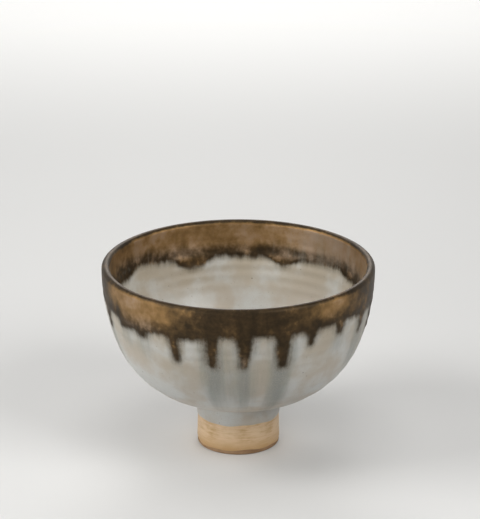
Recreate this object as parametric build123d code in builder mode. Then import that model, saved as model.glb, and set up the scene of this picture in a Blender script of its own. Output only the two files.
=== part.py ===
from build123d import *
import os
from math import cos, radians, sin, tan

# Footed studio bowl: a thrown bowl and a thrown hollow foot, luted together with slip, then coated.
# Millimetres, +Z up, origin at the centre of the resting edge under the foot.

# Overall sizes, over the glaze
rim_diameter = 140.0
overall_height = 98.5

# Thrown bowl
wall = 3.2
hip_radius = 49.3  # arc from the floor up into the side, on the outside of the clay
hip_sweep = 69.3  # degrees that this arc turns through

# Thrown foot
foot_diameter = 42.6
foot_height = 27.0  # from the table to the underside of the bowl's floor
foot_wall = 4.6
foot_draft = 1.5  # degrees that the foot's side leans in as it rises
foot_bevel = 0.7  # broken edges of the resting face

# Luting slip that joins foot and bowl
seam = 0.8
cove = 4.5  # radius smoothed between the foot's side and the bowl

# Coats
glaze = 0.6
foot_coat = 0.3
glaze_line = 16.0  # where the glaze ends on the foot, above the table
bare_edge = 2.2  # clay wiped clean above the table

# Brown band over the lip, measured down from the crest
band_outside = 15.5
band_inside = 19.5

# Runs of brown glaze that hang from the band
run_relief = 0.4
run_overlap = 6.0  # how far a run starts above the band's lower edge
run_width = 8.0
run_width_swing = 1.2
run_stagger = 1.5  # degrees that a run stands off its even place
end_rounding = 0.49  # corner radius of a run, as a share of its narrower side
first_run = 2.5  # degrees to the right of the front
# Length below the band of each outer run, from the front round to the right
run_lengths = (17, 18, 8, 6, 12, 15, 9, 13, 17, 11, 8, 14, 18, 10, 7, 13, 16, 9, 15, 12, 6, 7, 16, 17)

# Broad lobes of the band inside the bowl
lobe_count = 8
lobe_width = 25.0
lobe_overlap = 5.0  # how far a lobe starts above the band's lower edge
lobe_length = 5.5

# Places that follow from the sizes above
lip_radius = wall / 2
clay_rim_radius = rim_diameter / 2 - glaze
lip_level = overall_height - glaze - lip_radius
side_sweep = 90 - hip_sweep
hip_rise = hip_radius * (1 - cos(radians(hip_sweep)))
side_radius = (lip_level - foot_height - hip_rise) / cos(radians(hip_sweep))
side_reach = side_radius * (1 - sin(radians(hip_sweep)))
floor_radius = clay_rim_radius - hip_radius * sin(radians(hip_sweep)) - side_reach
foot_radius = foot_diameter / 2
well_radius = foot_radius - foot_wall
band_out_level = overall_height - band_outside
band_in_level = overall_height - band_inside
run_plane_radius = clay_rim_radius - hip_radius / 2


def filled_bowl(outset, mode=Mode.ADD):
    """Half section of the bowl filled up to the lip, grown from the clay's outer face by outset."""
    floor_level = foot_height - outset
    with BuildLine() as outline:
        floor = Line((0, floor_level), (floor_radius, floor_level))
        hip = JernArc(floor @ 1, floor % 1, hip_radius + outset, hip_sweep)
        side = JernArc(hip @ 1, hip % 1, side_radius + outset, side_sweep)
        Polyline(side @ 1, (0, lip_level), (0, floor_level))
    make_face(outline.edges(), mode=mode)


def foot_block(bore):
    """Half section of the foot from its bore to its side, run up into the bowl."""
    top_radius = foot_radius - lip_level * tan(radians(foot_draft))
    with BuildLine() as outline:
        Polyline((bore, 0), (foot_radius, 0), (top_radius, lip_level), (bore, lip_level), close=True)
    make_face(outline.edges())


def filled_ware(outset, mode=Mode.ADD):
    """Half section of bowl, foot and the cove between them, filled to the axis and grown by outset."""
    with BuildSketch(mode=Mode.PRIVATE) as section:
        filled_bowl(0)
        foot_block(0)
        offset(amount=cove, mode=Mode.REPLACE)
        offset(amount=outset - cove, mode=Mode.REPLACE)
        split(bisect_by=Plane.YZ)
    add(section.sketch, mode=mode)


def layer(profile, inner, outer, low, high):
    """Half section between two outsets of a filled profile, from one level up to another."""
    with BuildSketch(mode=Mode.PRIVATE) as section:
        profile(outer)
        profile(inner, mode=Mode.SUBTRACT)
        with Locations((0, low)):
            Rectangle(rim_diameter, high - low, align=(Align.MIN, Align.MIN), mode=Mode.INTERSECT)
    return section.sketch


def radial_plane(azimuth):
    """Upright plane inside the wall that faces outwards; azimuth 0 is the front and 90 the right."""
    angle = radians(azimuth)
    outward = Vector(sin(angle), -cos(angle), 0)
    return Plane(outward * run_plane_radius, x_dir=(cos(angle), sin(angle), 0), z_dir=outward)


def run_outline(width, top, tip):
    """Round-ended outline of a run, from its top level down to its tip."""
    height = top - tip
    with Locations((0, (top + tip) / 2)):
        RectangleRounded(width, height, end_rounding * min(width, height))


# Thrown bowl: one even wall with a half-round lip
with BuildPart() as bowl_body:
    with BuildSketch(Plane.XZ):
        with BuildLine():
            under = Line((0, foot_height), (floor_radius, foot_height))
            outer_hip = JernArc(under @ 1, under % 1, hip_radius, hip_sweep)
            outer_side = JernArc(outer_hip @ 1, outer_hip % 1, side_radius, side_sweep)
            lip = JernArc(outer_side @ 1, outer_side % 1, lip_radius, 180)
            inner_side = JernArc(lip @ 1, lip % 1, side_radius - wall, -side_sweep)
            inner_hip = JernArc(inner_side @ 1, inner_side % 1, hip_radius - wall, -hip_sweep)
            Polyline(inner_hip @ 1, (0, foot_height + wall), (0, foot_height))
        make_face()
    revolve(axis=Axis.Z)
bowl_body.part.label = "bowl_body"

# Thrown foot: a tapered ring whose top follows the bowl's underside, one seam below it
with BuildSketch() as foot_section:
    foot_block(well_radius)
    filled_bowl(seam, mode=Mode.SUBTRACT)

with BuildPart() as foot_ring:
    with BuildSketch(Plane.XZ):
        add(foot_section.sketch)
    revolve(axis=Axis.Z)
    chamfer(foot_ring.edges().group_by(Axis.Z)[0], foot_bevel)
foot_ring.part.label = "foot_ring"

# Luting slip: the seam between the two and the cove smoothed along its outside
with BuildSketch() as slip_section:
    filled_ware(0)
    filled_bowl(0, mode=Mode.SUBTRACT)
    add(foot_section.sketch, mode=Mode.SUBTRACT)
    Rectangle(well_radius, lip_level, align=(Align.MIN, Align.MIN), mode=Mode.SUBTRACT)

with BuildPart() as luting_slip:
    with BuildSketch(Plane.XZ):
        add(slip_section.sketch)
    revolve(axis=Axis.Z)
luting_slip.part.label = "luting_slip"

# Burnished slip coat on the side of the foot
with BuildPart() as foot_slip:
    with BuildSketch(Plane.XZ):
        add(layer(filled_ware, 0, foot_coat, bare_edge, glaze_line))
    revolve(axis=Axis.Z)
foot_slip.part.label = "foot_slip"

# Pale glaze outside, from the brown band down over the cove to the foot
with BuildPart() as outer_glaze:
    with BuildSketch(Plane.XZ):
        add(layer(filled_ware, 0, glaze, glaze_line, band_out_level))
    revolve(axis=Axis.Z)
outer_glaze.part.label = "outer_glaze"

# Pale glaze inside, below the brown band
inner_face = -wall
inner_glaze_face = inner_face - glaze
with BuildPart() as inner_glaze:
    with BuildSketch(Plane.XZ):
        add(layer(filled_bowl, inner_glaze_face, inner_face, foot_height, band_in_level))
    revolve(axis=Axis.Z)
inner_glaze.part.label = "inner_glaze"

# Brown band over the lip, outside and inside
with BuildSketch() as lip_cap:
    with Locations((clay_rim_radius - lip_radius, lip_level)):
        Circle(lip_radius + glaze)
        Circle(lip_radius, mode=Mode.SUBTRACT)
    with Locations((0, lip_level)):
        Rectangle(rim_diameter, rim_diameter, align=(Align.MIN, Align.MIN), mode=Mode.INTERSECT)

with BuildPart() as rim_band:
    with BuildSketch(Plane.XZ):
        add(lip_cap.sketch)
        add(layer(filled_bowl, 0, glaze, band_out_level, lip_level))
        add(layer(filled_bowl, inner_glaze_face, inner_face, band_in_level, lip_level))
    revolve(axis=Axis.Z)
rim_band.part.label = "rim_band"

# Runs outside: raised tongues of brown glaze that lie on the band and the pale glaze
with BuildPart() as outer_run_coat:
    with BuildSketch(Plane.XZ):
        add(layer(filled_bowl, glaze, glaze + run_relief, foot_height, lip_level))
    revolve(axis=Axis.Z)

with BuildPart() as outer_runs:
    for index, length in enumerate(run_lengths):
        azimuth = first_run + index * 360 / len(run_lengths) + run_stagger * sin(2 * index)
        width = run_width + run_width_swing * cos(index)
        with BuildSketch(radial_plane(azimuth)):
            run_outline(width, band_out_level + run_overlap, band_out_level - length)
        extrude(amount=hip_radius)
    add(outer_run_coat.part, mode=Mode.INTERSECT)
outer_runs.part.label = "outer_runs"

# Lobes inside: the same brown glaze sagging from the band onto the pale glaze
with BuildPart() as inner_run_coat:
    with BuildSketch(Plane.XZ):
        add(layer(filled_bowl, inner_glaze_face - run_relief, inner_glaze_face, foot_height, lip_level))
    revolve(axis=Axis.Z)

with BuildPart() as inner_runs:
    for index in range(lobe_count):
        azimuth = (index + 0.5) * 360 / lobe_count
        with BuildSketch(radial_plane(azimuth)):
            run_outline(lobe_width, band_in_level + lobe_overlap, band_in_level - lobe_length)
        extrude(amount=hip_radius)
    add(inner_run_coat.part, mode=Mode.INTERSECT)
inner_runs.part.label = "inner_runs"

os.makedirs("parts", exist_ok=True)
pieces = (
    bowl_body,
    foot_ring,
    luting_slip,
    foot_slip,
    outer_glaze,
    inner_glaze,
    rim_band,
    outer_runs,
    inner_runs,
)
for piece in pieces:
    export_step(piece.part, f"parts/{piece.part.label}.step")
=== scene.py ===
"""Looks of a footed ceramic bowl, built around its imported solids.

Metres, +Z up, and the front of the bowl faces -Y. An azimuth is 0 at the front and grows to the right.
"""

from math import asin, atan2, ceil, cos, degrees, exp, hypot, pi, radians, sin, sqrt, tan

import bmesh
import bpy
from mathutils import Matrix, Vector


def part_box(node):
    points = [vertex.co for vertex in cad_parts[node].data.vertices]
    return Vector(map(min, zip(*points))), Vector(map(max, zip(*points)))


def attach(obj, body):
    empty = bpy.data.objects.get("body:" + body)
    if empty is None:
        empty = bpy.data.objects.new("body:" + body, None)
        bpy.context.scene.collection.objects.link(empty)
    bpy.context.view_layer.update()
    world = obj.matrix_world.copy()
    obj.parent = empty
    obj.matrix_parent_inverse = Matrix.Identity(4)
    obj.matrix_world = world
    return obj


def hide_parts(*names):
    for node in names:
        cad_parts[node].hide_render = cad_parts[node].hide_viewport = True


bl_info = {
    "name": "Footed glazed bowl",
    "version": (1, 0, 0),
    "blender": (4, 5, 0),
    "location": "View3D > Sidebar > Bowl",
    "description": "Clay, slip and running glaze of a footed bowl, around its packed solids",
    "category": "Object",
}

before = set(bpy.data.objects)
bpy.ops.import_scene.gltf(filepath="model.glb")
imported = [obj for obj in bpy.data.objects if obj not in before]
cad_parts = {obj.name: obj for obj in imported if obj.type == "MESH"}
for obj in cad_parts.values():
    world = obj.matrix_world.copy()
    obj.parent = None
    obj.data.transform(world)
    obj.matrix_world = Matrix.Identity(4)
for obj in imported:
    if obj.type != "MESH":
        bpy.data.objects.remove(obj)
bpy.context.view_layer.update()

clay_low, clay_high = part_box("bowl_body")
_, band_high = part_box("rim_band")
outer_low, outer_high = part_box("outer_glaze")
inner_low, inner_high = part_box("inner_glaze")
slip_low, slip_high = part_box("foot_slip")
_, foot_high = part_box("foot_ring")

MM = 0.001
FULL_TURN = 2 * pi
SECTORS = 12  # a piece is spun as one sector first and then copied round, which is much quicker
MERGE_DISTANCE = 1e-6
SHARP_ANGLE = radians(48)


def length_property(name, description, millimetres):
    """Property for a length."""
    default = millimetres * MM
    return bpy.props.FloatProperty(name=name, description=description, default=default, unit="LENGTH")


def angle_property(name, description, angle):
    """Property for an angle, given in degrees."""
    default = radians(angle)
    return bpy.props.FloatProperty(name=name, description=description, default=default, subtype="ANGLE")


def colour_property(name, description, default):
    """Property for a linear colour."""
    limits = {"size": 3, "min": 0.0, "max": 1.0, "subtype": "COLOR"}
    return bpy.props.FloatVectorProperty(name=name, description=description, default=default, **limits)


class BowlSizes(bpy.types.PropertyGroup):
    """Sizes of the form that the nodes' boxes do not give, and of the coats' relief"""

    hip_radius: length_property("Hip radius", "Arc from the floor up into the side, outside the clay", 49.3)
    hip_sweep: angle_property("Hip sweep", "Angle that the hip's arc turns through", 69.3)
    cove: length_property("Cove", "Radius smoothed between the foot and the bowl, on the clay", 4.5)
    foot_draft: angle_property("Foot draft", "Angle that the foot's side leans in as it rises", 1.5)
    foot_radius: length_property("Foot radius", "Outside of the foot at the table, with a sharp edge", 21.3)
    foot_wall: length_property("Foot wall", "Thickness of the foot at the table", 4.6)
    foot_edge: length_property("Foot edge", "Rounding of the resting face's two edges", 0.8)
    foot_gap: length_property("Foot gap", "Gap left between the foot and the slip that joins it", 0.4)
    coat: length_property("Coat", "Thickness of a glaze shell", 0.45)
    run_coat: length_property("Run coat", "Thickness of the shell of the runs and lobes", 0.225)
    slip_coat: length_property("Slip coat", "Thickness of the shell of the foot's slip", 0.25)
    slip_face: length_property("Slip face", "How far the slip's face stands out from the clay", 0.28)
    slip_tuck: length_property("Slip tuck", "How far the slip runs up under the glaze", 1.5)
    row: length_property("Row", "Spacing of the rows of faces on a coat", 1.0)
    run_row: length_property("Run row", "Spacing of the rows of faces on the runs and lobes", 0.6)
    slip_row: length_property("Slip row", "Spacing of the rows of faces on the foot's slip", 0.5)
    columns: bpy.props.IntProperty(name="Columns", description="Faces around a coat", default=360)
    ring_pitch: length_property("Ring pitch", "Rise of the thrower's fingers in one turn", 5.4)
    ring_height: length_property("Ring height", "Height of the throwing rings", 0.11)
    turning_pitch: length_property("Turning pitch", "Rise of the tool in one turn, in the well", 3.1)
    turning_depth: length_property("Turning depth", "Depth of the turning marks in the well", 0.06)
    burnish_pitch: length_property("Burnish pitch", "Rise of the burnisher in one turn", 1.9)
    burnish_depth: length_property("Burnish depth", "Depth of the burnishing marks", 0.035)
    run_bead: length_property("Run bead", "How far a run stands proud of the glaze beneath it", 0.38)
    web: length_property("Web", "Rounding between a run and the band that it hangs from", 4.0)
    sink: length_property("Sink", "How far a run's edge dips under the glaze that it lies on", 0.08)


class BowlColours(bpy.types.PropertyGroup):
    """Colours of the fired finishes"""

    pale: colour_property("Pale glaze", "Satin grey-white glaze", (0.59, 0.597, 0.57))
    pale_thin: colour_property("Thin pale glaze", "Pale glaze where it is thin", (0.50, 0.445, 0.37))
    # the wash colour is partly a real grey-green trail under the runs and partly painted shade on the front
    # of the wall
    wash_and_shade: colour_property("Wash", "Grey-green trail under a run", (0.235, 0.250, 0.228))
    flush: colour_property("Flush", "Pale glaze warmed by the brown beside it", (0.43, 0.37, 0.275))
    stain: colour_property("Stain", "Brown glaze that has melted into the pale", (0.135, 0.115, 0.078))
    brown: colour_property("Brown glaze", "Brown glaze of the band", (0.070, 0.044, 0.021))
    brown_dark: colour_property("Dark brown", "Brown glaze where it is thick", (0.034, 0.023, 0.012))
    brown_light: colour_property("Light brown", "Brown glaze where it breaks thin", (0.38, 0.225, 0.088))
    brown_milky: colour_property("Milky brown", "Brown glaze at its thinnest", (0.445, 0.342, 0.262))
    speck: colour_property("Speck", "Iron specks in the pale glaze", (0.12, 0.075, 0.035))
    slip: colour_property("Slip", "Burnished tan slip of the foot", (0.77, 0.565, 0.355))
    slip_base: colour_property("Slip base", "Slip near the table, fired harder", (0.48, 0.275, 0.095))
    clay: colour_property("Clay", "Bare fired clay", (0.40, 0.25, 0.135))
    clay_dark: colour_property("Dark clay", "Grit and turning marks in the clay", (0.24, 0.135, 0.065))
    floor: colour_property("Floor", "Plain pale floor", (0.70, 0.695, 0.68))
    floor_bounce: colour_property("Floor bounce", "Floor as it lights the bowl", (0.44, 0.435, 0.43))


class BowlForm:
    """Arcs of the thrown form, as the solids have them."""

    def __init__(self, sizes):
        self.draft = sizes.foot_draft
        self.foot_radius = sizes.foot_radius
        self.well_radius = sizes.foot_radius - sizes.foot_wall
        self.glaze = band_high.x - clay_high.x
        self.wall = inner_low.z - clay_low.z
        self.inner_face = -self.wall - self.glaze
        self.lip_radius = self.wall / 2
        self.lip_level = clay_high.z - self.lip_radius
        self.hip_radius = sizes.hip_radius
        self.side_sweep = pi / 2 - sizes.hip_sweep
        hip_rise = self.hip_radius * (1 - cos(sizes.hip_sweep))
        self.side_radius = (self.lip_level - clay_low.z - hip_rise) / cos(sizes.hip_sweep)
        side_reach = self.side_radius * (1 - sin(sizes.hip_sweep))
        self.floor_radius = clay_high.x - self.hip_radius * sin(sizes.hip_sweep) - side_reach
        self.side_centre = Vector((clay_high.x - self.side_radius, 0, self.lip_level))
        self.hip_centre = Vector((self.floor_radius, 0, clay_low.z + self.hip_radius))
        self.lip_centre = Vector((clay_high.x - self.lip_radius, 0, self.lip_level))
        self.cove_centre = self.find_cove(sizes.cove)
        to_hip = self.hip_centre - self.cove_centre
        self.cove_start = atan2(to_hip.z, to_hip.x)

    def find_cove(self, cove):
        """Centre of the arc that touches both the hip and the foot's side."""
        along = Vector((-sin(self.draft), 0, cos(self.draft)))
        base = Vector((self.foot_radius + cove / cos(self.draft), 0, 0)) - self.hip_centre
        half = base.dot(along)
        reach = base.length_squared - (self.hip_radius + cove) ** 2
        return self.hip_centre + base + along * (-half - sqrt(half * half - reach))

    def side_angle(self, outset, level):
        """Angle below the lip of a level on the side's arc."""
        return asin((self.lip_level - level) / (self.side_radius + outset))

    def side_point(self, outset, level):
        """Point of the side's arc at a level."""
        angle = self.side_angle(outset, level)
        radius = self.side_radius + outset
        return self.side_centre + Vector((radius * cos(angle), 0, -radius * sin(angle)))

    def foot_point(self, outset, level):
        """Point of the foot's side at a level."""
        radius = self.foot_radius - level * tan(self.draft) + outset / cos(self.draft)
        return Vector((radius, 0, level))

    def well_point(self, level):
        """Point of the well's wall at a level."""
        return Vector((self.well_radius, 0, level))


class Section:
    """Half section of a turned piece, drawn in the XZ plane and then spun about Z."""

    def __init__(self, start, row):
        self.mesh = bmesh.new()
        self.row = row
        self.tip = self.mesh.verts.new(start)

    def arc(self, centre, angle, finer=1):
        """Goes on along an arc; a positive angle turns clockwise, with Z up and X to the right."""
        length = (self.tip.co - centre).length * abs(angle)
        steps = max(2, ceil(finer * length / self.row))
        spun = self.spin([self.tip], centre, (0, 1, 0), angle, steps)
        self.tip = spun["geom_last"][0]

    def line(self, end):
        """Goes on along a straight line."""
        steps = max(1, ceil((end - self.tip.co).length / self.row))
        stride = (end - self.tip.co) / steps
        for _ in range(steps):
            grown = bmesh.ops.extrude_vert_indiv(self.mesh, verts=[self.tip])
            self.tip = grown["verts"][0]
            bmesh.ops.translate(self.mesh, verts=[self.tip], vec=stride)

    def spin(self, geom, centre, axis, angle, steps, copies=False):
        """Spins what is drawn, into edges and faces or as copies."""
        return bmesh.ops.spin(
            self.mesh,
            geom=geom,
            cent=centre,
            axis=axis,
            angle=angle,
            steps=steps,
            use_duplicate=copies,
        )

    def spin_all(self, angle, steps, copies=False):
        """Spins all that is drawn about Z."""
        geom = self.mesh.verts[:] + self.mesh.edges[:] + self.mesh.faces[:]
        self.spin(geom, (0, 0, 0), (0, 0, 1), angle, steps, copies)

    def turn(self, columns, inward=False):
        """Spins the section into a surface whose faces point away from the axis, or towards it."""
        sector = FULL_TURN / SECTORS
        self.spin_all(sector, columns // SECTORS)
        self.spin_all(FULL_TURN - sector, SECTORS - 1, copies=True)
        bmesh.ops.remove_doubles(self.mesh, verts=self.mesh.verts, dist=MERGE_DISTANCE)
        bmesh.ops.recalc_face_normals(self.mesh, faces=self.mesh.faces)
        if inward:
            bmesh.ops.reverse_faces(self.mesh, faces=self.mesh.faces)
        self.mesh.normal_update()
        return self.mesh


def azimuth_of(point):
    """Angle round the bowl, from the front to the right."""
    return atan2(point.x, -point.y)


def reach_of(point):
    """Distance from the bowl's axis."""
    return hypot(point.x, point.y)


def turn_between(start, end):
    """Angle from one azimuth to another, by the shorter way."""
    return (end - start + pi) % FULL_TURN - pi


def bell(turn, spread):
    """Rounded peak of 1 that dies out over a spread."""
    return exp(-((turn / spread) ** 2))


def waves(azimuth, terms):
    """Sum of waves round the bowl, each with a height, a count and a phase."""
    return sum(height * sin(count * azimuth + phase) for height, count, phase in terms)


def fade(value, low, high):
    """Smooth step from 0 at low to 1 at high."""
    share = min(1.0, max(0.0, (value - low) / (high - low)))
    return share * share * (3 - 2 * share)


def join_smoothly(first, second, rounding):
    """Larger of two values, rounded where they are close."""
    near = max(rounding - abs(first - second), 0.0) / rounding
    return max(first, second) + near * near * rounding / 4


def loose_solids(node):
    """Points of each separate solid of a CAD node."""
    mesh = bmesh.new()
    mesh.from_mesh(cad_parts[node].data)
    bmesh.ops.remove_doubles(mesh, verts=mesh.verts, dist=MERGE_DISTANCE)
    waiting = set(mesh.verts)
    solids = []
    while waiting:
        front = [waiting.pop()]
        found = []
        while front:
            vert = front.pop()
            found.append(vert.co.copy())
            for edge in vert.link_edges:
                other = edge.other_vert(vert)
                if other in waiting:
                    waiting.remove(other)
                    front.append(other)
        solids.append(found)
    mesh.free()
    return solids


class Run:
    """One run or lobe of brown glaze, read from a loose solid of a CAD node."""

    sway_rate = 260  # radians of sway in a metre of height
    sway_shift = 9  # how fast the sway shifts from run to run
    taper_waves = ((0.35, 11, 2.2),)  # how the taper differs from run to run
    full_width_at = 0.3  # share of the length, from the top, where a run is as wide as its solid
    rounding = 0.98  # share of the half width that rounds the ends

    def __init__(self, points):
        self.azimuth = azimuth_of(sum(points, Vector()))
        self.across_x = cos(self.azimuth)
        self.across_y = sin(self.azimuth)
        self.half_width = max(abs(self.aside(point)) for point in points)
        self.tip = min(point.z for point in points)
        self.top = max(point.z for point in points)
        self.strength = 1.0
        self.wash_and_shade = 0.0

    def aside(self, point):
        """Sideways distance from the middle of the run."""
        return point.x * self.across_x + point.y * self.across_y

    def nearness(self, azimuth, spread):
        """1 in the middle of the run, which dies out over a spread to both sides."""
        return bell(turn_between(self.azimuth, azimuth), spread)

    def depth(self, point, taper, sway):
        """Distance inside the run's round-ended outline, negative outside it."""
        share = min(1.0, max(0.0, (self.top - point.z) / (self.top - self.tip)))
        bend = sway * sin(self.sway_rate * point.z + self.sway_shift * self.azimuth) * share
        narrowing = taper * (1 + waves(self.azimuth, self.taper_waves))
        half_width = self.half_width * (1 + narrowing * (self.full_width_at - share))
        half_height = (self.top - self.tip) / 2
        corner = self.rounding * min(half_width, half_height)
        over_x = abs(self.aside(point) - bend) - half_width + corner
        over_z = abs(point.z - (self.top + self.tip) / 2) - half_height + corner
        outside = hypot(max(over_x, 0.0), max(over_z, 0.0))
        inside = min(max(over_x, over_z), 0.0)
        return corner - outside - inside


class BrownFlow:
    """Where the brown glaze lies on one face of the bowl, and how strong it is there.

    Each face gives the node of its runs, the level of the band's edge, how much the runs taper and sway,
    the band's strength, how much that changes from one pouring to the next round the lip, which is partly
    real thickness and partly painted golden sheen and painted shade, and how much it changes towards the
    right, which is painted light from the left. From the front round to the right, it gives each run's
    strength, its wash, which is partly painted shade, and how much of it shows. A sag of the band's edge
    has an azimuth and a half spread in degrees, and a depth in millimetres, negative where it rises.
    """

    pours_of_sheen_and_shade = 4  # how often the band gets strong and weak round the lip, partly real thickness and partly painted: golden sheen where it is weak, shade where it is strong
    edge_waves = ((0.7, 3, 0.6), (0.5, 7, 2.1), (0.3, 16, 0.0))  # in millimetres
    depth_limits = (-40.0, 20.0)  # in millimetres
    # Shares of the spacing between the runs
    near_reach = 1.7
    colour_spread = 0.45
    wash_spread = 0.40
    # Distances below the band's edge where a run's own strength takes over, and where it thins out
    run_start = (-3 * MM, 6 * MM)
    thinning_start = (2 * MM, 22 * MM)
    thinning = 0.4
    # The wash starts just above the band's edge. As shares of the run's length, it is full at a distance
    # below that edge, and dies out between two distances below the tip
    wash_above = 1 * MM
    wash_full = 0.3
    wash_end = (0.7, 2.7)

    def __init__(self, web):
        self.web = web
        self.runs = [Run(points) for points in loose_solids(self.node)]
        self.spacing = FULL_TURN / len(self.runs)
        for run in self.runs:
            place = int(run.azimuth % FULL_TURN / self.spacing)
            run.strength = self.strengths[place % len(self.strengths)]
            run.wash_and_shade = self.washes_and_shade[place % len(self.washes_and_shade)]
            length = (self.band_edge - run.tip) * self.reaches[place % len(self.reaches)]
            run.tip = self.band_edge - length
        self.near_degree = [self.find_near(radians(degree)) for degree in range(360)]

    def find_near(self, azimuth):
        """Runs close enough to touch a place."""
        reach = self.near_reach * self.spacing
        return [run for run in self.runs if abs(turn_between(run.azimuth, azimuth)) < reach]

    def near(self, azimuth):
        """Runs close enough to touch a place, looked up by its whole degree."""
        return self.near_degree[int(degrees(azimuth % FULL_TURN)) % 360]

    def edge(self, azimuth):
        """Level of the band's uneven lower edge."""
        rise = waves(azimuth, self.edge_waves)
        for place, spread, drop in self.sags:
            rise -= drop * bell(turn_between(radians(place), azimuth), radians(spread))
        return self.band_edge + rise * MM

    def depth(self, point):
        """Distance inside the brown glaze, in millimetres within limits, negative outside it."""
        azimuth = azimuth_of(point)
        depth = point.z - self.edge(azimuth)
        for run in self.near(azimuth):
            depth = join_smoothly(depth, run.depth(point, self.taper, self.sway), self.web)
        least, most = self.depth_limits
        return max(least, min(most, depth / MM))

    def strength(self, point):
        """Strength of the brown, which thins out down a run."""
        azimuth = azimuth_of(point)
        total = 0.0
        weight = 1e-9  # never quite nothing, because it divides
        for run in self.near(azimuth):
            share = run.nearness(azimuth, self.colour_spread * self.spacing)
            total += share * run.strength
            weight += share
        below = self.edge(azimuth) - point.z
        thinned = 1 - self.thinning * fade(below, *self.thinning_start)
        # Band strength round the lip: partly real thickness, partly painted golden sheen where it thins and
        # painted shade where it thickens; the change towards the right is painted light from the left
        poured_sheen_and_shade = self.band + self.pour_sheen_and_shade * cos(self.pours_of_sheen_and_shade * azimuth) + self.left_light_lean * sin(azimuth)
        held = fade(below, *self.run_start) * min(1.0, weight)
        return (poured_sheen_and_shade * (1 - held) + total / weight * held) * thinned

    def trail_and_shade(self, point):
        """Strength of the grey-green wash that a run leaves on its way down, which is partly painted shade.
        """
        azimuth = azimuth_of(point)
        wash_and_shade = 0.0
        for run in self.near(azimuth):
            side = run.nearness(azimuth, self.wash_spread * self.spacing)
            length = self.band_edge - run.tip
            start = fade(self.band_edge - point.z, -self.wash_above, self.wash_full * length)
            full, gone = self.wash_end
            end = 1 - fade(run.tip - point.z, full * length, gone * length)
            wash_and_shade += run.wash_and_shade * side * start * end
        return min(1.0, wash_and_shade)


class OuterFlow(BrownFlow):
    """Band and runs on the outside."""

    node = "outer_runs"
    band_edge = outer_high.z
    taper = 0.62
    sway = 0.7 * MM
    band = 0.86
    # partly painted golden sheen and painted shade round the lip
    pour_sheen_and_shade = 0.22
    # painted light from the left: the band outside is painted darker towards the right
    left_light_lean = 0.06
    strengths = (
        0.72, 1.0, 0.80, 0.62, 0.66, 0.92, 0.72, 0.55, 0.95, 0.76, 0.64, 0.88,
        0.60, 0.90, 0.76, 0.68, 0.98, 0.66, 0.58, 0.82, 0.70, 0.72, 0.95, 0.92,
    )
    # Wash under each run, partly real and partly painted shade: strongest under the front runs and weakest
    # beside them, where the side lights' highlights fall
    washes_and_shade = (
        0.76, 1.0, 0.08, 0.50, 0.80, 0.85, 0.50, 0.40, 0.90, 0.60, 0.30, 0.75,
        0.45, 0.80, 0.50, 0.40, 0.90, 0.45, 0.35, 0.70, 0.50, 0.52, 0.26, 0.88,
    )
    reaches = (1.0,)
    sags = ((-51, 15, 4.2), (-20, 8, 2.0), (96, 20, 2.4), (151, 16, 3.4), (-140, 18, 2.8))


class InnerFlow(BrownFlow):
    """Band and lobes on the inside, where the band is thinner."""

    node = "inner_runs"
    band_edge = inner_high.z
    taper = 0.8
    sway = 0.0
    band = 0.58
    pour_sheen_and_shade = 0.05
    # painted light from the left: the band inside is painted lighter towards the right, where the light
    # falls
    left_light_lean = -0.07
    strengths = (0.82,)
    washes_and_shade = (0.0,)
    reaches = (1.0, 0.7, 0.2, 0.8, 1.0, 0.1, 0.85, 0.6)
    sags = ((-119, 24, -3.4), (118, 16, -2.2), (146, 12, 1.4), (40, 20, 1.6))


RING_UNEVENNESS = 0.35  # share of their height by which the throwing rings differ up the wall
RING_UNEVEN_RATE = 170  # radians of that change in a metre of height
RING_UNEVEN_SHIFT = 1.3
RING_FREE_LIP = 12 * MM  # the rings die out over this height below the lip


def throwing_rings(sizes, point):
    """Height of the finger marks, which climb in one long spiral and die out below the lip."""
    phase = FULL_TURN * point.z / sizes.ring_pitch + azimuth_of(point)
    change = sin(RING_UNEVEN_RATE * point.z + RING_UNEVEN_SHIFT)
    swell = 1 - RING_UNEVENNESS + RING_UNEVENNESS * change
    left = 1 - fade(point.z, clay_high.z - RING_FREE_LIP, clay_high.z)
    return sizes.ring_height * swell * sin(phase) * left


def add_flow_layers(mesh):
    """Layers for the brown's depth in millimetres, its strength and the wash, which is partly painted
    shade.
    """
    return [mesh.verts.layers.float.new(name) for name in ("flow", "strength", "trail_and_shade")]


def mark_flow(mesh, flow):
    """Stores the flow on every vertex."""
    depth_layer, strength_layer, trail_and_shade_layer = add_flow_layers(mesh)
    for vert in mesh.verts:
        vert[depth_layer] = flow.depth(vert.co)
        vert[strength_layer] = flow.strength(vert.co)
        vert[trail_and_shade_layer] = flow.trail_and_shade(vert.co)


def raise_surface(mesh, height):
    """Moves every vertex along its normal by the height found for it."""
    moves = [(vert, vert.normal * height(vert)) for vert in mesh.verts]
    for vert, move in moves:
        vert.co += move
    mesh.normal_update()


def wave_line(mesh, line, terms, reach):
    """Shifts the lower edge of a coat up and down, less and less up to a reach above it."""
    for vert in mesh.verts:
        wave = waves(azimuth_of(vert.co), terms)
        vert.co.z += wave * MM * (1 - fade(vert.co.z, line, line + reach))


def place_piece(mesh, name, finish, nodes, thickness=None):
    """Turns a surface into a closed shell and puts it in the scene in place of its CAD nodes."""
    if thickness:
        bmesh.ops.solidify(mesh, geom=mesh.faces[:], thickness=thickness)
    data = bpy.data.meshes.new(name)
    mesh.to_mesh(data)
    mesh.free()
    data.shade_smooth()
    data.set_sharp_from_angle(angle=SHARP_ANGLE)
    data.materials.append(finish)
    piece = bpy.data.objects.new(name, data)
    bpy.context.scene.collection.objects.link(piece)
    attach(piece, "root")
    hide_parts(*nodes)


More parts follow.
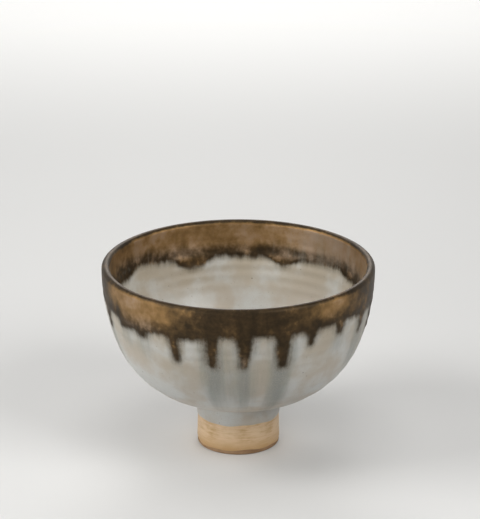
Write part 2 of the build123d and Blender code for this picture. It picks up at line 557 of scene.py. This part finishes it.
class Signal:
    """A shader value. Arithmetic on it adds Math nodes."""

    def __init__(self, finish, socket):
        self.finish = finish
        self.socket = socket

    def __add__(self, other):
        return self.finish.math("ADD", self, other)

    def __sub__(self, other):
        return self.finish.math("SUBTRACT", self, other)

    def __rsub__(self, other):
        return self.finish.math("SUBTRACT", other, self)

    def __mul__(self, other):
        return self.finish.math("MULTIPLY", self, other)

    __radd__ = __add__
    __rmul__ = __mul__

    def swing(self, reach):
        """A noise of 0 to 1 as a swing about 0, reach wide from end to end."""
        return (self - 0.5) * reach

    def between(self, low, high):
        """Smooth step of the value from 0 at low to 1 at high."""
        return self.finish.value(
            "ShaderNodeMapRange",
            {"interpolation_type": "SMOOTHSTEP"},
            {"Value": self, "From Min": low, "From Max": high},
            "Result",
        )


class Finish:
    """The nodes of one material."""

    def __init__(self, name):
        self.material = bpy.data.materials.new(name)
        self.material.use_nodes = True
        self.tree = self.material.node_tree
        self.tree.nodes.clear()

    def node(self, kind, settings, inputs):
        """Adds a node, sets it up, then fills or links its sockets."""
        node = self.tree.nodes.new(kind)
        for name, value in settings.items():
            setattr(node, name, value)
        for name, value in inputs.items():
            socket = node.inputs[name] if isinstance(name, int) else self.find(node, name)
            if isinstance(value, Signal):
                self.tree.links.new(value.socket, socket)
            else:
                socket.default_value = value
        return node

    def find(self, node, name):
        """The socket of that name that the node's settings leave in use."""
        return next(socket for socket in node.inputs if socket.name == name and socket.enabled)

    def value(self, kind, settings, inputs, output):
        """One output of a new node."""
        return Signal(self, self.node(kind, settings, inputs).outputs[output])

    def math(self, operation, *values):
        """Result of one Math node."""
        return self.value("ShaderNodeMath", {"operation": operation}, dict(enumerate(values)), "Value")

    def vector(self, operation, *values, output="Vector"):
        """Result of one Vector Math node."""
        return self.value("ShaderNodeVectorMath", {"operation": operation}, dict(enumerate(values)), output)

    def attribute(self, name):
        """Value stored on the vertices."""
        return self.value("ShaderNodeAttribute", {"attribute_name": name}, {}, "Fac")

    def place(self):
        """Place on the piece, in metres."""
        return self.value("ShaderNodeTexCoord", {}, {}, "Object")

    def stretch(self, place, scale):
        """Places scaled by a vector, so that a pattern on them is drawn out."""
        return self.vector("MULTIPLY", place, scale)

    def along_meridians(self, place, spread, drawn):
        """Places whose pattern runs down the wall towards the foot."""
        turned = self.vector("NORMALIZE", self.stretch(place, (1, 1, 0)))
        round_about = self.stretch(turned, (spread, spread, spread))
        height = self.stretch(place, (0, 0, drawn))
        return self.vector("ADD", round_about, height)

    def length(self, place):
        """Distance of a place from the origin."""
        return self.vector("LENGTH", place, output="Value")

    def noise(self, place, size, detail=3.0, roughness=0.55):
        """Noise from 0 to 1 whose features are about size across."""
        inputs = {"Vector": place, "Scale": 1 / size, "Detail": detail, "Roughness": roughness}
        return self.value("ShaderNodeTexNoise", {}, inputs, "Fac")

    def dots(self, place, size, share, spot):
        """1 inside scattered round dots: one place in cells of that size, and a share of the cells."""
        cells = self.node("ShaderNodeTexVoronoi", {"feature": "F1"}, {"Vector": place, "Scale": 1 / size})
        shade = Signal(self, cells.outputs["Color"])
        lot = self.value("ShaderNodeSeparateColor", {}, {"Color": shade}, "Red")
        chosen = lot.between(1 - share, 1 - 0.6 * share)
        near = 1 - Signal(self, cells.outputs["Distance"]).between(0.5 * spot, spot)
        return near * chosen

    def mix(self, factor, first, second):
        """Colour that goes from the first to the second."""
        node = self.node(
            "ShaderNodeMix",
            {"data_type": "RGBA"},
            {"Factor": factor, "A": self.colour(first), "B": self.colour(second)},
        )
        return Signal(self, next(out for out in node.outputs if out.enabled))

    def colour(self, value):
        """A colour as a socket takes it."""
        return value if isinstance(value, Signal) else (*value, 1.0)

    def bump(self, height, distance):
        """Normal of a surface with fine relief, up to a distance high."""
        return self.value("ShaderNodeBump", {}, {"Height": height, "Distance": distance}, "Normal")

    def surface(self, inputs):
        """Closes the material with one Principled shader."""
        shader = self.node("ShaderNodeBsdfPrincipled", {}, inputs)
        out = self.node("ShaderNodeOutputMaterial", {}, {})
        self.tree.links.new(shader.outputs["BSDF"], out.inputs["Surface"])
        return self.material


# Depths inside the brown glaze's edge, in millimetres, over which it changes what is there
BROWN_COVERS = (-1.0, 2.0)
BROWN_STAINS = (-3.2, 0.8)
BROWN_FLUSHES = (-26.0, -2.0)
BROWN_THINS = (2.0, 10.0)
BROWN_TURNS_MILKY = (0.5, 6.5)
MILKY_STRENGTH = 0.68  # brown weaker than this turns milky


def glaze_finish(colours):
    """Satin pale glaze with brown glaze that runs over it, told apart by the flow on the vertices."""
    name = "running_glaze"
    if name in bpy.data.materials:
        return bpy.data.materials[name]
    finish = Finish(name)
    place = finish.place()
    flow = finish.attribute("flow")
    strength = finish.attribute("strength")
    trail_and_shade = finish.attribute("trail_and_shade")

    ragged = finish.noise(place, 2.6 * MM, detail=4.0)
    streaks = finish.noise(finish.along_meridians(place, 0.055, 0.12), 2.4 * MM, detail=3.0)
    clouds = finish.noise(place, 19 * MM, detail=4.0)
    mottle = finish.noise(place, 3.0 * MM, detail=5.0, roughness=0.6)
    patches = finish.noise(place, 11 * MM, detail=3.0)
    grain = finish.noise(place, 0.5 * MM, detail=2.0)
    pits = finish.dots(place, 2.1 * MM, 0.35, 0.16)
    specks = finish.dots(place, 3.1 * MM, 0.3, 0.11)
    spots = finish.dots(place, 8 * MM, 0.3, 0.07)

    edge = flow + ragged.swing(2.0) + streaks.swing(3.2)
    brown_cover = edge.between(*BROWN_COVERS) * (strength + streaks.swing(0.5)).between(0.05, 0.6)
    stained = edge.between(*BROWN_STAINS) * (strength * 0.55 + 0.3)
    flushed = edge.between(*BROWN_FLUSHES) * clouds.between(0.25, 0.6)
    # grey-green wash under the runs, partly real and partly painted shade
    washed_and_shaded = (trail_and_shade * 0.95 + streaks.swing(0.6) * trail_and_shade.between(0.02, 0.4)).between(0.05, 0.95)
    pale = finish.mix(clouds.between(0.38, 0.68), colours.pale, colours.pale_thin)
    pale = finish.mix(flushed * 0.75, pale, colours.flush)
    pale = finish.mix(washed_and_shaded * 0.9, pale, colours.wash_and_shade)
    pale = finish.mix(stained, pale, colours.stain)
    pale = finish.mix(grain.between(0.4, 0.75) * 0.35, pale, colours.pale_thin)
    pale = finish.mix(pits * 0.3, pale, colours.stain)
    pale = finish.mix(specks * 0.7 + spots * 0.6, pale, colours.speck)

    body = (mottle * 0.4 + patches * 0.45 + streaks * 0.15).between(0.38, 0.62)
    breaks = (mottle * 0.5 + patches * 0.5).between(0.54, 0.72) * (1.3 - strength)
    inward = flow + mottle.swing(2.5) + patches.swing(7.0)
    uneven = mottle.swing(0.2) + patches.swing(0.5)
    thin = (1 - strength + uneven).between(0.03, 0.5) * inward.between(*BROWN_THINS)
    weak = (MILKY_STRENGTH - strength + uneven).between(0.0, 0.3)
    milky = weak * inward.between(*BROWN_TURNS_MILKY)
    brown = finish.mix(body, colours.brown_dark, colours.brown)
    brown = finish.mix(breaks, brown, colours.brown_light)
    brown = finish.mix(thin * 0.85, brown, colours.brown_light)
    brown = finish.mix(milky * 0.8, brown, colours.brown_milky)

    height = grain * 0.35 + ragged * 0.4 - pits * 0.9 * (1 - 0.5 * brown_cover)
    return finish.surface(
        {
            "Base Color": finish.mix(brown_cover, pale, brown),
            "Roughness": 0.36 + brown_cover * 0.16 + mottle.swing(0.24),
            "Metallic": brown_cover * 0.88,
            "Normal": finish.bump(height, 0.06 * MM),
        }
    )


def slip_finish(colours):
    """Thin tan slip, burnished round the foot, fired redder near the table."""
    finish = Finish("burnished_slip")
    place = finish.place()
    level = finish.value("ShaderNodeSeparateXYZ", {}, {"Vector": place}, "Z")
    clouds = finish.noise(place, 9 * MM, detail=4.0)
    strokes = finish.noise(finish.stretch(place, (0.12, 0.12, 1.0)), 0.8 * MM, detail=3.0)
    grit = finish.dots(place, 1.6 * MM, 0.22, 0.15)
    low = 1 - (level + clouds.swing(9 * MM)).between(1 * MM, 10 * MM)
    worn = (clouds * 0.6 + strokes * 0.4).between(0.40, 0.82)
    fired = finish.mix(worn, colours.slip, colours.slip_base)
    fired = finish.mix(low * 0.8, fired, colours.slip_base)
    fired = finish.mix(grit * 0.45, fired, colours.clay_dark)
    return finish.surface(
        {
            "Base Color": fired,
            "Roughness": 0.36 + strokes * 0.22,
            "Normal": finish.bump(strokes * 0.6 - grit * 0.5, 0.05 * MM),
        }
    )


def clay_finish(colours):
    """Bare fired clay with fine grit and the rings of the turning tool."""
    name = "bare_clay"
    if name in bpy.data.materials:
        return bpy.data.materials[name]
    finish = Finish(name)
    place = finish.place()
    reach = finish.length(finish.stretch(place, (1, 1, 0)))
    spread = finish.value("ShaderNodeCombineXYZ", {}, {"X": reach}, "Vector")
    rings = finish.noise(spread, 0.9 * MM, detail=2.0)
    grain = finish.noise(place, 0.6 * MM, detail=4.0, roughness=0.7)
    clouds = finish.noise(place, 8 * MM, detail=3.0)
    grit = finish.dots(place, 1.4 * MM, 0.3, 0.2)
    body = finish.mix((clouds * 0.55 + rings * 0.45).between(0.38, 0.66), colours.clay, colours.clay_dark)
    body = finish.mix(grit * 0.6, body, colours.clay_dark)
    return finish.surface(
        {
            "Base Color": body,
            "Roughness": 0.72 + grain * 0.2,
            "Normal": finish.bump(rings * 1.2 + grain * 0.6 - grit * 0.4, 0.12 * MM),
        }
    )


def seam_finish(colours):
    """Fired luting slip, smoother than the clay that it joins."""
    finish = Finish("fired_luting_slip")
    place = finish.place()
    smears = finish.noise(finish.stretch(place, (0.2, 0.2, 1.0)), 1.2 * MM, detail=3.0)
    grain = finish.noise(place, 0.5 * MM, detail=3.0)
    return finish.surface(
        {
            "Base Color": finish.mix(smears.between(0.3, 0.7), colours.clay, colours.clay_dark),
            "Roughness": 0.66 + grain * 0.2,
            "Normal": finish.bump(smears + grain * 0.5, 0.08 * MM),
        }
    )


class BOWL_OT_outer_glaze(bpy.types.Operator):
    """Pale glaze outside, from the brown band down over the cove to a wavy line on the foot"""

    bl_idname = "bowl.outer_glaze"
    bl_label = "Outer glaze"

    # The glaze line on the foot: its roll, the edge tucked in below that, and its waves in millimetres
    roll_height = 0.16 * MM
    roll_width = 2.4 * MM
    tuck_depth = 0.34 * MM
    tuck_width = 0.7 * MM
    line_waves = ((0.3, 2, 0.7), (0.25, 5, 0.0), (0.15, 11, 1.0))
    wave_reach = 4 * MM

    def execute(self, context):
        sizes = context.scene.bowl_sizes
        form = BowlForm(sizes)
        section = Section(form.side_point(form.glaze, outer_high.z), sizes.row)
        section.arc(form.side_centre, form.side_sweep - form.side_angle(form.glaze, outer_high.z))
        section.arc(form.hip_centre, pi - form.cove_start - form.side_sweep)
        section.arc(form.cove_centre, form.cove_start - pi - form.draft, finer=2)
        section.line(form.foot_point(form.glaze, outer_low.z))
        mesh = section.turn(sizes.columns)
        mark_flow(mesh, OuterFlow(sizes.web))

        def height(vert):
            rise = vert.co.z - outer_low.z
            roll = self.roll_height * sin(pi * min(1.0, rise / self.roll_width))
            tuck = self.tuck_depth * (1 - fade(rise, 0.0, self.tuck_width))
            return throwing_rings(sizes, vert.co) + roll - tuck

        raise_surface(mesh, height)
        wave_line(mesh, outer_low.z, self.line_waves, self.wave_reach)
        finish = glaze_finish(context.scene.bowl_colours)
        place_piece(mesh, "outer_glaze_coat", finish, ["outer_glaze"], sizes.coat)
        return {"FINISHED"}


class BOWL_OT_inner_glaze(bpy.types.Operator):
    """Pale glaze inside, from the brown band down to the middle of the floor"""

    bl_idname = "bowl.inner_glaze"
    bl_label = "Inner glaze"

    floor_rings = 1.1  # height of the spiral on the floor, as a share of the throwing rings'

    def execute(self, context):
        sizes = context.scene.bowl_sizes
        form = BowlForm(sizes)
        section = Section(form.side_point(form.inner_face, inner_high.z), sizes.row)
        section.arc(form.side_centre, form.side_sweep - form.side_angle(form.inner_face, inner_high.z))
        section.arc(form.hip_centre, pi / 2 - form.side_sweep)
        section.line(Vector((0, 0, section.tip.co.z)))
        mesh = section.turn(sizes.columns, inward=True)
        mark_flow(mesh, InnerFlow(sizes.web))

        def height(vert):
            reach = reach_of(vert.co)
            spiral = sin(FULL_TURN * reach / sizes.ring_pitch - azimuth_of(vert.co))
            floor = 1 - fade(reach, form.floor_radius, 2 * form.floor_radius)
            knob = fade(reach, 0.0, sizes.ring_pitch)
            wall_rings = throwing_rings(sizes, vert.co) * (1 - floor)
            return wall_rings + self.floor_rings * sizes.ring_height * spiral * floor * knob

        raise_surface(mesh, height)
        finish = glaze_finish(context.scene.bowl_colours)
        place_piece(mesh, "inner_glaze_coat", finish, ["inner_glaze"], sizes.coat)
        return {"FINISHED"}


class BOWL_OT_rim_band(bpy.types.Operator):
    """Brown glaze over the lip, outside and inside"""

    bl_idname = "bowl.rim_band"
    bl_label = "Rim band"

    crest_strength = 1.05  # strength of the brown on top of the lip

    def execute(self, context):
        sizes = context.scene.bowl_sizes
        form = BowlForm(sizes)
        section = Section(form.side_point(form.glaze, outer_high.z), sizes.row)
        section.arc(form.side_centre, -form.side_angle(form.glaze, outer_high.z))
        section.arc(form.lip_centre, -pi, finer=2.5)
        section.arc(form.side_centre, form.side_angle(form.inner_face, inner_high.z))
        mesh = section.turn(sizes.columns)
        self.mark_both_faces(mesh, sizes, form)

        raise_surface(mesh, lambda vert: throwing_rings(sizes, vert.co))
        finish = glaze_finish(context.scene.bowl_colours)
        place_piece(mesh, "rim_band_coat", finish, ["rim_band"], sizes.coat)
        return {"FINISHED"}

    def mark_both_faces(self, mesh, sizes, form):
        """Stores the flow of the runs outside the lip's middle and of the lobes inside it, with no wash and
        none of its painted shade.
        """
        outside = OuterFlow(sizes.web)
        inside = InnerFlow(sizes.web)
        depth_layer, strength_layer, _ = add_flow_layers(mesh)
        for vert in mesh.verts:
            flow = outside if reach_of(vert.co) > self.middle(form, vert.co.z) else inside
            crest = fade(vert.co.z, form.lip_level, band_high.z)
            vert[depth_layer] = flow.depth(vert.co)
            vert[strength_layer] = flow.strength(vert.co) * (1 - crest) + self.crest_strength * crest

    def middle(self, form, level):
        """Radius of the middle of the wall at a level."""
        return form.side_point(-form.wall / 2, min(level, form.lip_level)).x


# Depths inside the brown glaze's edge, in millimetres, negative outside it
BEAD_SWELLS = (-0.8, 3.4)
BEAD_SINKS = 1.0
BEAD_ENDS = -1.2
# Distances below the band's edge where a bead grows, and above which it starts to die out in the band
BEAD_GROWS = (-3 * MM, 14 * MM)
BEAD_DIES = 5 * MM
# A bead's height at the band, and what it gains towards its tip, as shares of the run bead
BEAD_AT_BAND = 0.35
BEAD_GAIN = 0.75
# Distances below the top of the runs where they are flat, and where they have come out of the band
RUN_FLAT = 0.6 * MM
RUN_OUT = 2.5 * MM
RUN_MARGIN = 2 * MM  # surface below the longest run


def raise_runs(sizes, form, outset, low, high, flow, inward=False):
    """Brown glaze lifted into rounded tongues, without what would lie under the pale glaze."""
    section = Section(form.side_point(outset, high), sizes.run_row)
    turn = form.side_angle(outset, low - RUN_MARGIN) - form.side_angle(outset, high)
    section.arc(form.side_centre, turn)
    mesh = section.turn(2 * sizes.columns, inward)
    mark_flow(mesh, flow)
    depth_layer = mesh.verts.layers.float["flow"]

    def height(vert):
        depth = vert[depth_layer]
        bead = sizes.run_bead * fade(depth, *BEAD_SWELLS)
        tip = fade(flow.band_edge - vert.co.z, *BEAD_GROWS)
        rise = 1 - fade(vert.co.z, flow.band_edge - BEAD_DIES, high - RUN_FLAT)
        hidden = max(fade(-depth, 0.0, BEAD_SINKS), 1 - fade(high - vert.co.z, 0.0, RUN_OUT))
        lifted = bead * (BEAD_AT_BAND + BEAD_GAIN * tip) * rise
        return throwing_rings(sizes, vert.co) + lifted - sizes.sink * hidden

    raise_surface(mesh, height)
    bare = [face for face in mesh.faces if all(vert[depth_layer] < BEAD_ENDS for vert in face.verts)]
    bmesh.ops.delete(mesh, geom=bare, context="FACES")
    return mesh


class BOWL_OT_outer_runs(bpy.types.Operator):
    """Brown glaze that runs down from the band outside, proud of the pale glaze"""

    bl_idname = "bowl.outer_runs"
    bl_label = "Outer runs"

    def execute(self, context):
        sizes = context.scene.bowl_sizes
        form = BowlForm(sizes)
        flow = OuterFlow(sizes.web)
        low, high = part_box("outer_runs")
        mesh = raise_runs(sizes, form, form.glaze, low.z, high.z, flow)
        finish = glaze_finish(context.scene.bowl_colours)
        place_piece(mesh, "outer_run_tongues", finish, ["outer_runs"], sizes.run_coat)
        return {"FINISHED"}


class BOWL_OT_inner_runs(bpy.types.Operator):
    """Lobes of brown glaze that sag from the band onto the pale glaze inside"""

    bl_idname = "bowl.inner_runs"
    bl_label = "Inner lobes"

    def execute(self, context):
        sizes = context.scene.bowl_sizes
        form = BowlForm(sizes)
        flow = InnerFlow(sizes.web)
        low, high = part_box("inner_runs")
        mesh = raise_runs(sizes, form, form.inner_face, low.z, high.z, flow, inward=True)
        finish = glaze_finish(context.scene.bowl_colours)
        place_piece(mesh, "inner_run_lobes", finish, ["inner_runs"], sizes.run_coat)
        return {"FINISHED"}


class BOWL_OT_foot_slip(bpy.types.Operator):
    """Burnished slip on the side of the foot, run up a little under the glaze"""

    bl_idname = "bowl.foot_slip"
    bl_label = "Foot slip"

    burnish_beat = 900  # radians in a metre of height, for marks that come and go
    # The lower edge of the slip: how far and over what height it thins, and its waves in millimetres
    thin_depth = 0.22 * MM
    thin_height = 1.2 * MM
    line_waves = ((0.35, 3, 1.0), (0.25, 8, 0.0))
    wave_reach = 3 * MM

    def execute(self, context):
        sizes = context.scene.bowl_sizes
        form = BowlForm(sizes)
        section = Section(form.foot_point(sizes.slip_face, slip_high.z + sizes.slip_tuck), sizes.slip_row)
        section.line(form.foot_point(sizes.slip_face, slip_low.z))
        mesh = section.turn(sizes.columns)

        def height(vert):
            spiral = sin(FULL_TURN * vert.co.z / sizes.burnish_pitch + azimuth_of(vert.co))
            marks = spiral * sin(self.burnish_beat * vert.co.z)
            thin = 1 - fade(vert.co.z, slip_low.z, slip_low.z + self.thin_height)
            return sizes.burnish_depth * marks - self.thin_depth * thin

        raise_surface(mesh, height)
        wave_line(mesh, slip_low.z, self.line_waves, self.wave_reach)
        finish = slip_finish(context.scene.bowl_colours)
        place_piece(mesh, "foot_slip_coat", finish, ["foot_slip"], sizes.slip_coat)
        return {"FINISHED"}


class BOWL_OT_foot_ring(bpy.types.Operator):
    """Turned clay foot with rounded resting edges and an open well"""

    bl_idname = "bowl.foot_ring"
    bl_label = "Foot ring"

    edge_segments = 4
    smooth_below = 2 * MM  # the well has no turning marks below this level
    at_well = 1e-5  # how close to the well's radius a vertex of its wall lies

    def execute(self, context):
        sizes = context.scene.bowl_sizes
        form = BowlForm(sizes)
        top = foot_high.z - sizes.foot_gap
        section = Section(form.well_point(top), sizes.row)
        section.line(form.well_point(0))
        section.line(form.foot_point(0, 0))
        section.line(form.foot_point(0, top))
        section.line(form.well_point(top))
        mesh = section.turn(sizes.columns // 2)
        resting = [edge for edge in mesh.edges if self.is_corner(edge)]
        bmesh.ops.bevel(
            mesh,
            geom=resting,
            offset=sizes.foot_edge,
            offset_type="OFFSET",
            affect="EDGES",
            segments=self.edge_segments,
            profile=0.5,
            material=-1,
        )
        mesh.normal_update()
        self.cut_turning_marks(mesh, sizes, form)
        finish = clay_finish(context.scene.bowl_colours)
        place_piece(mesh, "turned_foot", finish, ["foot_ring"])
        return {"FINISHED"}

    def is_corner(self, edge):
        """Tells the two sharp edges of the resting face."""
        at_table = all(vert.co.z < MERGE_DISTANCE for vert in edge.verts)
        return at_table and edge.calc_face_angle() > SHARP_ANGLE

    def cut_turning_marks(self, mesh, sizes, form):
        """Presses the tool's spiral into the wall of the well."""
        for vert in mesh.verts:
            reach = reach_of(vert.co)
            if abs(reach - form.well_radius) < self.at_well and vert.co.z > self.smooth_below:
                spiral = sin(FULL_TURN * vert.co.z / sizes.turning_pitch + azimuth_of(vert.co))
                widening = 1 + sizes.turning_depth * spiral / reach
                vert.co.x *= widening
                vert.co.y *= widening


class BOWL_OT_clay_nodes(bpy.types.Operator):
    """Fired finishes for the thrown bowl and the luting slip, which keep their solids' own shapes"""

    bl_idname = "bowl.clay_nodes"
    bl_label = "Clay and luting slip"

    def execute(self, context):
        colours = context.scene.bowl_colours
        self.paint("bowl_body", clay_finish(colours))
        self.paint("luting_slip", seam_finish(colours))
        return {"FINISHED"}

    def paint(self, node, finish):
        """Gives a CAD node its finish."""
        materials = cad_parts[node].data.materials
        materials.clear()
        materials.append(finish)


class BOWL_OT_stage(bpy.types.Operator):
    """Plain pale floor that curves up all round, soft light and the camera"""

    bl_idname = "bowl.stage"
    bl_label = "Stage"

    floor_radius = 2.6
    floor_curve = 0.6
    floor_top = 1.8
    floor_row = 0.1
    floor_columns = 96
    backdrop = (0.5, 1.4)  # distances over which the floor turns into an evenly pale backdrop
    world_strength = 0.06

    light_distance = 1.15
    light_size = 0.55
    light_target = Vector((0, 0, 0.05))
    # Azimuth and elevation in degrees, power in watts
    lights = {
        "left_softbox": (-76, 40, 7.1),
        "right_softbox": (52, 38, 6.8),
        "front_fill": (-44, 7, 4.2),
        "back_fill": (180, 32, 4.6),
        "overhead": (0, 88, 2.8),
    }

    camera_lens = 160.3
    camera_sensor = 36.0
    camera_place = Vector((0.0, -1.1126, 0.4995))
    camera_target = Vector((0.0009, 0.0183, 0.0933))

    def execute(self, context):
        self.make_floor(context.scene)
        self.make_world(context.scene)
        for name, (azimuth, elevation, power) in self.lights.items():
            self.make_light(context.scene, name, radians(azimuth), radians(elevation), power)
        self.make_camera(context.scene)
        context.scene.view_settings.view_transform = "Standard"
        return {"FINISHED"}

    def make_floor(self, scene):
        """Floor that curves up into a wall."""
        wall_radius = self.floor_radius + self.floor_curve
        section = Section(Vector((0, 0, 0)), self.floor_row)
        section.line(Vector((self.floor_radius, 0, 0)))
        section.arc(Vector((self.floor_radius, 0, self.floor_curve)), -pi / 2)
        section.line(Vector((wall_radius, 0, self.floor_top)))
        mesh = section.turn(self.floor_columns, inward=True)
        data = bpy.data.meshes.new("floor")
        mesh.to_mesh(data)
        mesh.free()
        data.shade_smooth()
        data.materials.append(self.floor_finish(scene.bowl_colours))
        floor = bpy.data.objects.new("floor", data)
        scene.collection.objects.link(floor)

    def floor_finish(self, colours):
        """Matt floor that looks pale and lights the bowl less than it looks."""
        finish = Finish("floor")
        place = finish.place()
        clouds = finish.noise(place, 0.4, detail=2.0)
        rays = finish.node("ShaderNodeLightPath", {}, {})
        seen = Signal(finish, rays.outputs["Is Camera Ray"])
        seen = seen + Signal(finish, rays.outputs["Is Glossy Ray"])
        seen = seen + Signal(finish, rays.outputs["Is Transmission Ray"])
        far = finish.length(place).between(*self.backdrop)
        return finish.surface(
            {
                "Base Color": finish.mix(seen, colours.floor_bounce, colours.floor),
                "Roughness": 0.7 + clouds * 0.1,
                "Emission Color": finish.mix(seen * far, (0, 0, 0), colours.floor),
                "Emission Strength": 1.0,
            }
        )

    def make_world(self, scene):
        """Faint even light from all round."""
        world = bpy.data.worlds.new("studio")
        world.use_nodes = True
        background = world.node_tree.nodes["Background"]
        background.inputs["Color"].default_value = (1.0, 1.0, 1.0, 1.0)
        background.inputs["Strength"].default_value = self.world_strength
        scene.world = world

    def make_light(self, scene, name, azimuth, elevation, power):
        """Square soft light that faces the bowl."""
        lamp = bpy.data.lights.new(name, "AREA")
        lamp.size = self.light_size
        lamp.energy = power
        light = bpy.data.objects.new(name, lamp)
        flat = self.light_distance * cos(elevation)
        rise = self.light_distance * sin(elevation)
        away = Vector((flat * sin(azimuth), -flat * cos(azimuth), rise))
        light.location = self.light_target + away
        light.rotation_euler = (-away).to_track_quat("-Z", "Y").to_euler()
        light.visible_camera = False
        scene.collection.objects.link(light)

    def make_camera(self, scene):
        """Camera that sees the bowl as the photograph does."""
        lens = bpy.data.cameras.new("photo_camera")
        lens.lens = self.camera_lens
        lens.sensor_width = self.camera_sensor
        camera = bpy.data.objects.new("photo_camera", lens)
        camera.location = self.camera_place
        aim = self.camera_target - self.camera_place
        camera.rotation_euler = aim.to_track_quat("-Z", "Y").to_euler()
        scene.collection.objects.link(camera)
        scene.camera = camera


class BOWL_PT_panel(bpy.types.Panel):
    """Sizes, colours and pieces of the bowl"""

    bl_idname = "BOWL_PT_panel"
    bl_label = "Footed bowl"
    bl_space_type = "VIEW_3D"
    bl_region_type = "UI"
    bl_category = "Bowl"

    def draw(self, context):
        layout = self.layout
        for group in (context.scene.bowl_sizes, context.scene.bowl_colours):
            box = layout.box()
            for name in group.__annotations__:
                box.prop(group, name)
        for operator in PIECE_OPERATORS:
            layout.operator(operator.bl_idname)


PIECE_OPERATORS = (
    BOWL_OT_outer_glaze,
    BOWL_OT_inner_glaze,
    BOWL_OT_rim_band,
    BOWL_OT_outer_runs,
    BOWL_OT_inner_runs,
    BOWL_OT_foot_slip,
    BOWL_OT_foot_ring,
    BOWL_OT_clay_nodes,
    BOWL_OT_stage,
)
CLASSES = (BowlSizes, BowlColours, *PIECE_OPERATORS, BOWL_PT_panel)


def register():
    for cls in CLASSES:
        bpy.utils.register_class(cls)
    bpy.types.Scene.bowl_sizes = bpy.props.PointerProperty(type=BowlSizes)
    bpy.types.Scene.bowl_colours = bpy.props.PointerProperty(type=BowlColours)


def unregister():
    del bpy.types.Scene.bowl_colours
    del bpy.types.Scene.bowl_sizes
    for cls in reversed(CLASSES):
        bpy.utils.unregister_class(cls)


def main():
    register()
    bpy.ops.bowl.outer_glaze()
    bpy.ops.bowl.inner_glaze()
    bpy.ops.bowl.rim_band()
    bpy.ops.bowl.outer_runs()
    bpy.ops.bowl.inner_runs()
    bpy.ops.bowl.foot_slip()
    bpy.ops.bowl.foot_ring()
    bpy.ops.bowl.clay_nodes()
    bpy.ops.bowl.stage()


if __name__ == "__main__":
    main()
